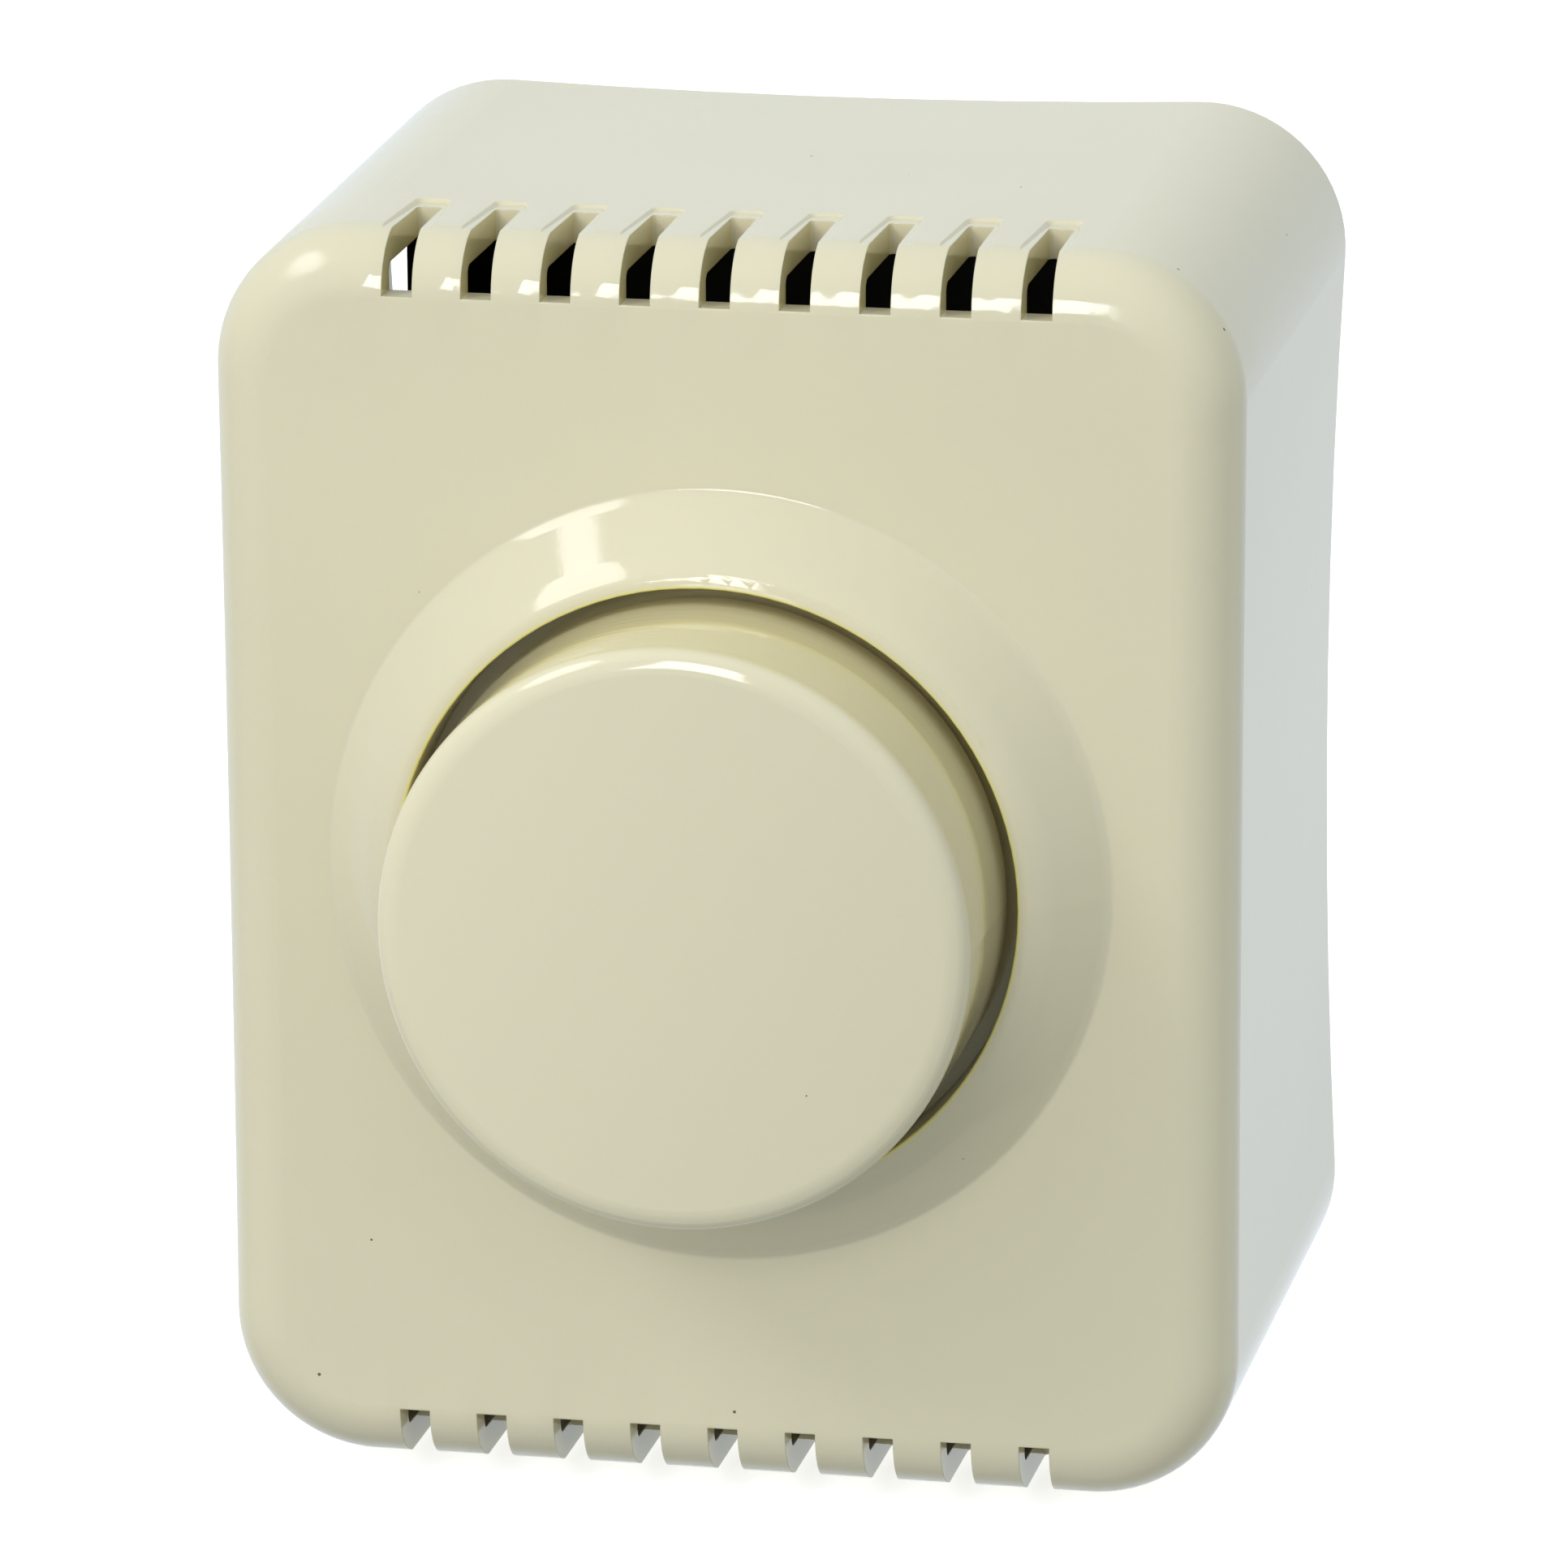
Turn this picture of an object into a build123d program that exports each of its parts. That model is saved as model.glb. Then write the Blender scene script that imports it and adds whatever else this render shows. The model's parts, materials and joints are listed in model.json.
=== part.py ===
from build123d import *
import os
from math import cos, pi, sin

# Surface-mounted rotary dimmer: a deep vented cover with a round push-and-turn knob, over a
# mounting base that carries the dimmer circuit.
# Frame: +Z up, +X right, the wall is the plane Y = 0 and the knob points to -Y.
# "Height" always means millimetres in front of the wall, so height h is Y = -h.

# ---- driving dimensions, millimetres ----
# cover
cover_depth = 46.0
front_half_width = 32.35
front_half_height = 40.05
front_corner = 9.2
rear_half_width = 32.8
rear_half_height = 41.1
rear_corner = 9.4
side_bow = 0.9
end_bow = 0.5
wall = 2.1
rim_wall = 1.05
rim_depth = 5.0
front_thickness = 2.0
edge_radius = 4.0
inner_edge_radius = 0.6
# vent slots
slot_count = 9
slot_pitch = 5.0
slot_start = 36.26
slot_reach = 9.4
slot_front_width = 1.93
slot_rear_width = 1.6
slot_corner = 0.3
pocket_floor = 40.0
pocket_front = 43.4
pocket_rear = 35.4
pocket_front_width = 3.1
pocket_rear_width = 1.8
pocket_corner = 0.35
pocket_slope = 45.0
# collar around the knob
collar_mouth_radius = 19.63
collar_rise = 4.34
collar_lip_radius = 20.3
collar_shoulder_radius = 21.2
collar_shoulder_rise = 3.76
collar_toe_radius = 24.5
collar_toe_rise = 0.24
collar_foot_radius = 24.87
collar_mouth_round = 0.15
collar_lip_round = 1.05
collar_shoulder_round = 6.0
collar_toe_round = 2.6
collar_foot_round = 0.35
# knob
knob_radius = 18.43
knob_skirt_radius = 18.6
knob_front = 61.0
knob_rear = 48.2
knob_face_radius = 17.4
knob_edge_drop = 0.48
knob_face_round = 2.0
knob_edge_round = 1.08
knob_wall = 1.9
knob_cap = 2.0
hub_radius = 5.0
hub_bore = 3.3
hub_rear = 51.8
# push and turn mechanism
shaft_radius = 3.0
shaft_front = 58.5
shaft_rear = 32.0
shaft_flat = 2.2
running_gap = 0.05
bush_radius = 5.0
bush_front = 50.0
can_radius = 8.5
can_wall = 0.6
can_front = 41.2
can_rear = 31.0
wafer_rear = 29.6
# base and circuit board
base_width = 58.0
base_height = 75.0
base_corner = 7.0
base_floor = 2.0
base_rim = 6.0
base_wall = 2.0
board_width = 50.0
board_height = 51.0
board_rear = 18.0
board_thickness = 1.6
board_front = board_rear + board_thickness
wall_screw_spacing = 64.0
wall_hole_radius = 1.8
cable_entry_width = 24.0
cable_entry_height = 14.0
cable_entry_z = -15.0
board_screw_points = [(0, 22), (-22.5, -23), (22.5, -23)]
board_screw_radius = 1.1
# places of the electrical parts on the board, as (x, z)
tag_pitch = 5.0
tag_z = -9.0
pole_pitch = 7.5
pole_count = 3
block_z = -20.25
plate_x = 23.4
leg_x = plate_x - 2.4
leg_pitch = 2.54
choke_x = -15.0
choke_z = 15.5
suppression_x = 13.7
suppression_z = 20.2
suppression_lead_span = 12.5
timing_x = 14.0
timing_z = -11.0
timing_lead_span = 7.5
fuse_x = -21.0
fuse_z = -4.5
fuse_lead_span = 15.0
trimmer_x = -16.6
trimmer_z = -18.9
resistor_x = 17.6
resistor_first_z = -14.6
resistor_pitch = 2.5
resistor_lead_span = 9.0
diac_z = 13.0
lead_hole_radius = 0.65
solder_radius = 0.9
# one solid reaches this far into another where the two are fused, or past a face that it cuts
overlap = 0.1
cut_past = 1.0

os.makedirs("parts", exist_ok=True)


def level(height):
    """Sketch plane parallel to the wall: local x is X, local y is Z, its normal points to the front."""
    return Plane.XZ.offset(height)


def at(radius, height):
    """Point of a half profile that is revolved about the knob axis."""
    return (radius, -height)


def bowed_outline(half_width, half_height, corner):
    """Rounded rectangle whose sides curve in towards their middles, by side_bow and end_bow."""
    middle_x = half_width - side_bow
    middle_z = half_height - end_bow
    # The arcs run on past the rounded corners to the points where they would meet.
    corner_x = middle_x + side_bow / (1 - corner / half_height) ** 2
    corner_z = middle_z + end_bow / (1 - corner / half_width) ** 2
    with BuildSketch(mode=Mode.PRIVATE) as outline:
        with BuildLine():
            ThreePointArc((-corner_x, corner_z), (0, middle_z), (corner_x, corner_z))
            ThreePointArc((corner_x, corner_z), (middle_x, 0), (corner_x, -corner_z))
            ThreePointArc((corner_x, -corner_z), (0, -middle_z), (-corner_x, -corner_z))
            ThreePointArc((-corner_x, -corner_z), (-middle_x, 0), (-corner_x, corner_z))
        make_face()
        fillet(outline.vertices(), corner)
    return outline.sketch


def save(piece, name):
    piece.part.label = name
    export_step(piece.part, "parts/" + name + ".step")


# ---- cover ----
# Hollow of the cover, kept apart so that its own front edge can be rounded first.
with BuildPart() as cover_hollow:
    with BuildSketch(level(0)):
        add(bowed_outline(rear_half_width - wall, rear_half_height - wall, rear_corner - wall))
    with BuildSketch(level(cover_depth - front_thickness)):
        RectangleRounded(2 * (front_half_width - wall), 2 * (front_half_height - wall), front_corner - wall)
    loft(ruled=True)
    fillet(cover_hollow.faces().sort_by(Axis.Y)[0].edges(), inner_edge_radius)
    # The wall is thinner round the open rear, which leads the cover over the base.
    with BuildSketch(level(0)):
        add(bowed_outline(rear_half_width - rim_wall, rear_half_height - rim_wall, rear_corner - rim_wall))
    extrude(amount=rim_depth)

slot_taper = (slot_front_width - slot_rear_width) / 2 / slot_reach
boss_radius = 8.0
boss_bore = 5.3
collar_back_inner = 21.4
collar_back_outer = 23.4
collar_back_rise = 1.9
collar_root = 0.5
collar_skirt = 1.5
pocket_cut = 1.0
rib_thickness = 1.5
rib_depth = 3.0
rib_z = 24.0
rib_clearance = 0.3
rib_end = base_rim + rib_clearance
panel_rear = cover_depth - front_thickness

with BuildPart() as cover_shell:
    with BuildSketch(level(0)):
        add(bowed_outline(rear_half_width, rear_half_height, rear_corner))
    with BuildSketch(level(cover_depth)):
        RectangleRounded(2 * front_half_width, 2 * front_half_height, front_corner)
    loft(ruled=True)
    fillet(cover_shell.faces().sort_by(Axis.Y)[0].edges(), edge_radius)
    add(cover_hollow.part, mode=Mode.SUBTRACT)
    # Guide ribs that stop just short of the rim of the base.
    with BuildSketch(level(rib_end)):
        with GridLocations(2 * (front_half_width - wall - rib_depth / 2 + overlap), 2 * rib_z, 2, 2):
            Rectangle(rib_depth, rib_thickness)
    extrude(amount=panel_rear - rib_end + overlap)
    # Boss that rests on the potentiometer.
    with BuildSketch(level(can_front)):
        Circle(boss_radius)
    extrude(amount=panel_rear - can_front + overlap)
    # Raised conical collar around the knob, softly bent at its shoulder and toe.
    collar_top = cover_depth + collar_rise
    shoulder_height = cover_depth + collar_shoulder_rise
    toe_height = cover_depth + collar_toe_rise
    with BuildSketch(Plane.XY) as collar_section:
        with BuildLine():
            Polyline(
                at(collar_mouth_radius - overlap, cover_depth - collar_root),
                at(collar_mouth_radius, collar_top),
                at(collar_lip_radius, collar_top),
                at(collar_shoulder_radius, shoulder_height),
                at(collar_toe_radius, toe_height),
                at(collar_foot_radius, cover_depth),
                at(collar_foot_radius + collar_skirt, cover_depth),
                at(collar_foot_radius + collar_skirt, cover_depth - collar_root),
                close=True,
            )
        make_face()
        foot_corner = collar_section.vertices().sort_by_distance(at(collar_foot_radius, cover_depth))[0]
        fillet(foot_corner, collar_foot_round)
        toe_corner = collar_section.vertices().sort_by_distance(at(collar_toe_radius, toe_height))[0]
        fillet(toe_corner, collar_toe_round)
        shoulder = collar_section.vertices().sort_by_distance(at(collar_shoulder_radius, shoulder_height))[0]
        fillet(shoulder, collar_shoulder_round)
        lip_corner = collar_section.vertices().sort_by_distance(at(collar_lip_radius, collar_top))[0]
        fillet(lip_corner, collar_lip_round)
        mouth_corner = collar_section.vertices().sort_by_distance(at(collar_mouth_radius, collar_top))[0]
        fillet(mouth_corner, collar_mouth_round)
    revolve(axis=Axis.Y)
    # Cone-shaped relief behind the collar, which keeps the moulded wall even.
    with BuildSketch(Plane.XY):
        with BuildLine():
            Polyline(
                at(collar_back_inner, panel_rear - cut_past),
                at(collar_back_inner, cover_depth + collar_back_rise),
                at(collar_back_outer, panel_rear),
                at(collar_back_outer, panel_rear - cut_past),
                close=True,
            )
        make_face()
    revolve(axis=Axis.Y, mode=Mode.SUBTRACT)
    # Hole for the threaded bush.
    with BuildSketch(level(can_front - cut_past)):
        Circle(boss_bore)
    extrude(amount=cover_depth, mode=Mode.SUBTRACT)
    # Vent slots over the top and bottom front edges, each in a shallow pocket of the wall.
    for side in (1, -1):
        with BuildSketch(Plane.XY.offset(side * pocket_floor)) as pockets:
            with GridLocations(slot_pitch, 0, slot_count, 1):
                Polygon(
                    (-pocket_front_width / 2, -pocket_front),
                    (pocket_front_width / 2, -pocket_front),
                    (pocket_rear_width / 2, -pocket_rear),
                    (-pocket_rear_width / 2, -pocket_rear),
                    align=None,
                )
            fillet(pockets.vertices().group_by(Axis.Y)[-1], pocket_corner)
        extrude(amount=side * pocket_cut, taper=-pocket_slope, mode=Mode.SUBTRACT)
        with BuildSketch(Plane.XY.offset(side * slot_start)) as slots:
            with GridLocations(slot_pitch, 0, slot_count, 1):
                front_half = slot_front_width / 2 + slot_taper * cut_past
                Polygon(
                    (-front_half, -cover_depth - cut_past),
                    (front_half, -cover_depth - cut_past),
                    (slot_rear_width / 2, -cover_depth + slot_reach),
                    (-slot_rear_width / 2, -cover_depth + slot_reach),
                    align=None,
                )
            fillet(slots.vertices().group_by(Axis.Y)[-1], slot_corner)
        extrude(amount=side * 2 * edge_radius, mode=Mode.SUBTRACT)
save(cover_shell, "cover_shell")

# ---- knob ----
rib_count = 6
knob_rib_thickness = 1.2
knob_rib_rear = hub_rear + 2.0
knob_rib_bite = 0.5
knob_inner_front = knob_front - knob_cap
edge_height = knob_front - knob_edge_drop
with BuildPart() as knob:
    with BuildSketch(Plane.XY) as knob_section:
        with BuildLine():
            Polyline(
                at(0, knob_front),
                at(knob_face_radius, knob_front),
                at(knob_radius, edge_height),
                at(knob_skirt_radius, knob_rear),
                at(knob_skirt_radius - knob_wall, knob_rear),
                at(knob_radius - knob_wall, knob_inner_front),
                at(0, knob_inner_front),
                close=True,
            )
        make_face()
        edge_corner = knob_section.vertices().sort_by_distance(at(knob_radius, edge_height))[0]
        fillet(edge_corner, knob_edge_round)
        face_corner = knob_section.vertices().sort_by_distance(at(knob_face_radius, knob_front))[0]
        fillet(face_corner, knob_face_round)
    revolve(axis=Axis.Y)
    with BuildSketch(level(hub_rear)):
        Circle(hub_radius)
    extrude(amount=knob_inner_front - hub_rear + overlap)
    with BuildSketch(level(knob_rib_rear)):
        with PolarLocations(0, rib_count):
            with Locations(((hub_radius + knob_radius - knob_wall) / 2, 0)):
                Rectangle(knob_radius - knob_wall - hub_radius + 2 * knob_rib_bite, knob_rib_thickness)
    extrude(amount=knob_inner_front - knob_rib_rear + overlap)
    with BuildSketch(level(hub_rear)):
        Circle(hub_bore)
    extrude(amount=knob_inner_front - hub_rear, mode=Mode.SUBTRACT)
save(knob, "knob")

clip_inset = 0.6
clip_play = 0.03
clip_gap = 3.0
clip_height = 5.5
with BuildPart() as knob_clip:
    with BuildSketch(level(hub_rear + clip_inset)):
        Circle(hub_bore - clip_play)
        Circle(shaft_radius + clip_play, mode=Mode.SUBTRACT)
        with Locations((0, hub_bore)):
            Rectangle(clip_gap, 2 * hub_bore, mode=Mode.SUBTRACT)
    extrude(amount=clip_height)
save(knob_clip, "knob_clip")

# ---- shaft, bush and nut ----
collar_front = 39.2
collar_length = 1.2
shaft_collar_radius = 4.2
drive_flat_length = 6.0
end_chamfer = 0.4
with BuildPart() as shaft:
    with BuildSketch(level(shaft_rear)):
        Circle(shaft_radius)
    extrude(amount=shaft_front - shaft_rear)
    chamfer(shaft.edges().sort_by(Axis.Y)[0], end_chamfer)
    with BuildSketch(level(collar_front - collar_length)):
        Circle(shaft_collar_radius)
    extrude(amount=collar_length)
    for flat_start, flat_length in ((shaft_rear, drive_flat_length), (hub_rear, shaft_front - hub_rear)):
        with BuildSketch(level(flat_start)):
            with Locations((0, shaft_flat + shaft_radius)):
                Rectangle(2 * shaft_radius, 2 * shaft_radius)
        extrude(amount=flat_length, mode=Mode.SUBTRACT)
save(shaft, "shaft")

bush_flange_radius = 6.3
bush_flange_rear = 39.3
can_plate = 1.1
thread_pitch = 0.75
thread_depth = 0.3
thread_turns = 8
with BuildPart() as threaded_bush:
    with BuildSketch(Plane.XY):
        with BuildLine():
            thread_start = bush_front - end_chamfer - thread_turns * thread_pitch
            thread_points = []
            for turn in range(thread_turns):
                crest = thread_start + turn * thread_pitch
                thread_points.append(at(bush_radius, crest))
                thread_points.append(at(bush_radius - thread_depth, crest + thread_pitch / 2))
            Polyline(
                at(shaft_radius + running_gap, bush_flange_rear),
                at(bush_flange_radius, bush_flange_rear),
                at(bush_flange_radius, can_front - can_plate),
                at(bush_radius, can_front - can_plate),
                *thread_points,
                at(bush_radius, bush_front - end_chamfer),
                at(bush_radius - end_chamfer, bush_front),
                at(shaft_radius + running_gap, bush_front),
                close=True,
            )
        make_face()
    revolve(axis=Axis.Y)
save(threaded_bush, "threaded_bush")

washer_radius = 8.0
washer_thickness = 0.6
washer_play = 0.1
nut_thickness = 2.4
nut_across_flats = 14.0
with BuildPart() as nut_washer:
    with BuildSketch(level(cover_depth)):
        Circle(washer_radius)
        Circle(bush_radius + washer_play, mode=Mode.SUBTRACT)
    extrude(amount=washer_thickness)
save(nut_washer, "nut_washer")

with BuildPart() as bush_nut:
    with BuildSketch(level(cover_depth + washer_thickness)):
        RegularPolygon(radius=nut_across_flats / 2, side_count=6, major_radius=False)
        Circle(bush_radius, mode=Mode.SUBTRACT)
    extrude(amount=nut_thickness)
save(bush_nut, "bush_nut")

# ---- potentiometer ----
can_edge_round = 0.5
with BuildPart() as potentiometer_can:
    with BuildSketch(level(can_rear)):
        Circle(can_radius)
    extrude(amount=can_front - can_rear)
    fillet(potentiometer_can.edges().sort_by(Axis.Y)[0], can_edge_round)
    with BuildSketch(level(can_rear)):
        Circle(can_radius - can_wall)
    extrude(amount=can_front - can_rear - can_plate, mode=Mode.SUBTRACT)
    with BuildSketch(level(can_rear)):
        Circle(bush_radius)
    extrude(amount=can_front, mode=Mode.SUBTRACT)
save(potentiometer_can, "potentiometer_can")

wafer_bore = 3.35
tag_margin = 1.0
tongue_width = 2 * tag_pitch + 2.4
tongue_top = -4.0
tongue_bottom = tag_z - tag_margin
with BuildPart() as potentiometer_wafer:
    with BuildSketch(level(wafer_rear)):
        Circle(can_radius)
        with Locations((0, (tongue_top + tongue_bottom) / 2)):
            Rectangle(tongue_width, tongue_top - tongue_bottom)
        Circle(wafer_bore, mode=Mode.SUBTRACT)
    extrude(amount=can_rear - wafer_rear)
save(potentiometer_wafer, "potentiometer_wafer")

track_outer = 6.4
track_inner = 4.7
track_thickness = 0.12
track_gap = 5.0
with BuildPart() as resistive_track:
    with BuildSketch(level(can_rear)):
        Circle(track_outer)
        Circle(track_inner, mode=Mode.SUBTRACT)
        with Locations((0, -track_outer)):
            Rectangle(track_gap, 2 * track_outer, mode=Mode.SUBTRACT)
    extrude(amount=track_thickness)
save(resistive_track, "resistive_track")

rotor_rear = 32.3
rotor_disc_radius = 7.2
rotor_disc_thickness = 1.2
rotor_sleeve_radius = 5.2
rotor_front = 36.2
with BuildPart() as wiper_rotor:
    with BuildSketch(level(rotor_rear)):
        Circle(rotor_disc_radius)
    extrude(amount=rotor_disc_thickness)
    with BuildSketch(level(rotor_rear)):
        Circle(rotor_sleeve_radius)
    extrude(amount=rotor_front - rotor_rear)
    with BuildSketch(level(rotor_rear)):
        Circle(shaft_radius + running_gap)
        with Locations((0, shaft_flat + running_gap + shaft_radius)):
            Rectangle(2 * shaft_radius + 1, 2 * shaft_radius, mode=Mode.SUBTRACT)
    extrude(amount=rotor_front - rotor_rear, mode=Mode.SUBTRACT)
save(wiper_rotor, "wiper_rotor")

wiper_thickness = 0.2
wiper_inner = 3.8
wiper_cut = 3.0
wiper_foot = 0.7
wiper_foot_radius = 0.5
with BuildPart() as wiper_contact:
    with BuildSketch(level(rotor_rear - wiper_thickness)):
        Circle(track_outer)
        Circle(wiper_inner, mode=Mode.SUBTRACT)
        with Locations((0, -track_outer)):
            Rectangle(2 * track_outer, 2 * (track_outer + wiper_cut), mode=Mode.SUBTRACT)
    extrude(amount=wiper_thickness)
    with BuildSketch(level(rotor_rear - wiper_thickness - wiper_foot)):
        with Locations((0, (track_outer + track_inner) / 2)):
            Circle(wiper_foot_radius)
    extrude(amount=wiper_foot)
save(wiper_contact, "wiper_contact")

tag_width = 1.1
tag_thickness = 0.5
with BuildPart() as potentiometer_tags:
    with BuildSketch(level(board_rear)):
        with Locations((0, tag_z)):
            with GridLocations(tag_pitch, 0, 3, 1):
                Rectangle(tag_width, tag_thickness)
    extrude(amount=wafer_rear - board_rear)
save(potentiometer_tags, "potentiometer_tags")

# ---- push switch behind the potentiometer ----
switch_width = 15.0
switch_wall = 1.0
switch_floor = board_front + 1.2
switch_lid_rear = 28.4
stem_radius = 2.3
plunger_flange_rear = 24.8
plunger_flange_front = 26.0
plunger_flange_radius = 3.8
with BuildPart() as switch_housing:
    with BuildSketch(level(board_front)):
        Rectangle(switch_width, switch_width)
    extrude(amount=switch_lid_rear - board_front)
    with BuildSketch(level(switch_floor)):
        Rectangle(switch_width - 2 * switch_wall, switch_width - 2 * switch_wall)
    extrude(amount=switch_lid_rear - switch_floor, mode=Mode.SUBTRACT)
save(switch_housing, "switch_housing")

with BuildPart() as switch_lid:
    with BuildSketch(level(switch_lid_rear)):
        Rectangle(switch_width, switch_width)
        Circle(stem_radius + running_gap, mode=Mode.SUBTRACT)
    extrude(amount=wafer_rear - switch_lid_rear)
save(switch_lid, "switch_lid")

lug_x = 3.4
lug_width = 2.0
lug_margin = 0.6
arm_z = 5.2
spring_guide_radius = 1.2
spring_guide_length = 2.0
stem_gap = 0.1
with BuildPart() as switch_plunger:
    with BuildSketch(level(plunger_flange_rear)):
        Circle(plunger_flange_radius)
        with Locations((lug_x, (arm_z + lug_margin) / 2)):
            Rectangle(lug_width, arm_z + lug_margin)
    extrude(amount=plunger_flange_front - plunger_flange_rear)
    with BuildSketch(level(plunger_flange_front)):
        Circle(stem_radius)
    extrude(amount=shaft_rear - stem_gap - plunger_flange_front)
    with BuildSketch(level(plunger_flange_rear - spring_guide_length)):
        Circle(spring_guide_radius)
    extrude(amount=spring_guide_length)
save(switch_plunger, "switch_plunger")

spring_wire = 0.2
spring_radius = 1.8
spring_turns = 4
spring_gap = 0.05
spring_length = plunger_flange_rear - switch_floor - 2 * (spring_wire + spring_gap)
with BuildPart() as return_spring:
    with BuildLine() as spring_path:
        Helix(
            pitch=spring_length / spring_turns,
            height=spring_length,
            radius=spring_radius,
            center=(0, -(switch_floor + spring_wire + spring_gap), 0),
            direction=(0, -1, 0),
        )
    with BuildSketch(Plane(origin=spring_path.line @ 0, z_dir=spring_path.line % 0)):
        Circle(spring_wire)
    sweep(is_frenet=True)
save(return_spring, "return_spring")

arm_pivot_x = -5.2
arm_height = 24.15
arm_length = 10.4
arm_width = 1.3
arm_thickness = 0.5
eye_radius = 0.9
pin_radius = 0.4
pin_overhang = 1.5
contact_inset = 0.8
contact_radius = 0.6
contact_rise = 0.5
with BuildPart() as contact_arm:
    with BuildSketch(Plane.XY.offset(arm_z - arm_width / 2)):
        with Locations((arm_pivot_x, -arm_height)):
            Circle(eye_radius)
        with Locations((arm_pivot_x + arm_length / 2, -arm_height)):
            Rectangle(arm_length, arm_thickness)
        with Locations((arm_pivot_x, -arm_height)):
            Circle(pin_radius + running_gap, mode=Mode.SUBTRACT)
    extrude(amount=arm_width)
    with BuildSketch(level(arm_height - arm_thickness / 2 - contact_rise)):
        with Locations((arm_pivot_x + arm_length - contact_inset, arm_z)):
            Circle(contact_radius)
    extrude(amount=contact_rise + overlap)
save(contact_arm, "contact_arm")

switch_inner = switch_width / 2 - switch_wall
with BuildPart() as contact_pivot_pin:
    with BuildSketch(Plane.XY.offset(arm_z - arm_width / 2 - pin_overhang)):
        with Locations((arm_pivot_x, -arm_height)):
            Circle(pin_radius)
    extrude(amount=switch_inner - arm_z + arm_width / 2 + pin_overhang)
save(contact_pivot_pin, "contact_pivot_pin")

pad_front = 21.4
pad_height = 1.4
pad_width = 1.6
pivot_pad_width = 1.8
with BuildPart() as fixed_contacts:
    with BuildSketch(level(switch_floor)):
        with Locations((arm_pivot_x + arm_length - contact_inset, arm_z)):
            Rectangle(pad_width, pad_height)
        with Locations((arm_pivot_x, arm_z)):
            Rectangle(pivot_pad_width, pad_height)
    extrude(amount=pad_front - switch_floor)
save(fixed_contacts, "fixed_contacts")

# ---- mounting base ----
post_radius = 2.4
post_bore_depth = 9.0
rear_relief = 0.8
relief_width = 20.0
relief_height = 26.0
relief_corner = 3.0
relief_spacing_x = 30.0
relief_spacing_z = 34.0
cable_entry_corner = 2.0
with BuildPart() as mounting_base:
    with BuildSketch(level(0)):
        RectangleRounded(base_width, base_height, base_corner)
    extrude(amount=base_rim)
    with BuildSketch(level(base_floor)):
        RectangleRounded(base_width - 2 * base_wall, base_height - 2 * base_wall, base_corner - base_wall)
    extrude(amount=base_rim - base_floor, mode=Mode.SUBTRACT)
    # Posts that carry the circuit board.
    with BuildSketch(level(base_floor)):
        with Locations(*board_screw_points):
            Circle(post_radius)
    extrude(amount=board_rear - base_floor)
    with BuildSketch(level(board_rear - post_bore_depth)):
        with Locations(*board_screw_points):
            Circle(board_screw_radius)
    extrude(amount=post_bore_depth, mode=Mode.SUBTRACT)
    # Shallow reliefs in the rear face leave a rim, a cross and pads that sit on the wall.
    with BuildSketch(level(0)):
        with GridLocations(relief_spacing_x, relief_spacing_z, 2, 2):
            RectangleRounded(relief_width, relief_height, relief_corner)
    extrude(amount=rear_relief, mode=Mode.SUBTRACT)
    # Holes for the wall screws, and the window where the cable comes in.
    with BuildSketch(level(-cut_past)):
        with GridLocations(0, wall_screw_spacing, 1, 2):
            Circle(wall_hole_radius)
        with Locations((0, cable_entry_z)):
            RectangleRounded(cable_entry_width, cable_entry_height, cable_entry_corner)
    extrude(amount=base_floor + 2 * cut_past, mode=Mode.SUBTRACT)
save(mounting_base, "mounting_base")

# ---- circuit board ----
pole_pin_offset = 1.5
choke_pin_x = 3.0
choke_pin_drop = 6.0
board_corner = 2.0
screw_play = 0.15
lead_points = [(tag_pitch * place, tag_z) for place in (-1, 0, 1)]
for row in (-pole_pin_offset, pole_pin_offset):
    lead_points += [(pole_pitch * pole, block_z + row) for pole in (-1, 0, 1)]
lead_points += [(leg_x, leg_pitch * leg) for leg in (-1, 0, 1)]
for side in (-1, 1):
    lead_points.append((suppression_x + side * suppression_lead_span / 2, suppression_z))
    lead_points.append((timing_x + side * timing_lead_span / 2, timing_z))
    lead_points.append((choke_x + side * choke_pin_x, choke_z - choke_pin_drop))
    lead_points.append((fuse_x, fuse_z + side * fuse_lead_span / 2))
    for place in range(3):
        resistor_z = resistor_first_z - place * resistor_pitch
        lead_points.append((resistor_x + side * resistor_lead_span / 2, resistor_z))
with BuildPart() as circuit_board:
    with BuildSketch(level(board_rear)):
        RectangleRounded(board_width, board_height, board_corner)
        with Locations(*board_screw_points):
            Circle(board_screw_radius + screw_play, mode=Mode.SUBTRACT)
        with Locations(*lead_points):
            Circle(lead_hole_radius, mode=Mode.SUBTRACT)
    extrude(amount=board_thickness)
save(circuit_board, "circuit_board")

board_screw_head_radius = 2.2
board_screw_head = 1.6
board_screw_chamfer = 0.5
board_screw_reach = 7.0
recess_depth = 0.7
recess_length = 2.6
recess_width = 0.6
with BuildPart() as board_screws:
    with BuildSketch(level(board_front)):
        with Locations(*board_screw_points):
            Circle(board_screw_head_radius)
    extrude(amount=board_screw_head)
    chamfer(board_screws.edges().group_by(Axis.Y)[0], board_screw_chamfer)
    with BuildSketch(level(board_front + board_screw_head - recess_depth)):
        with Locations(*board_screw_points):
            Rectangle(recess_length, recess_width)
            Rectangle(recess_width, recess_length)
    extrude(amount=cut_past, mode=Mode.SUBTRACT)
    with BuildSketch(level(board_rear - board_screw_reach)):
        with Locations(*board_screw_points):
            Circle(board_screw_radius)
    extrude(amount=board_front - board_rear + board_screw_reach)
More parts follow.
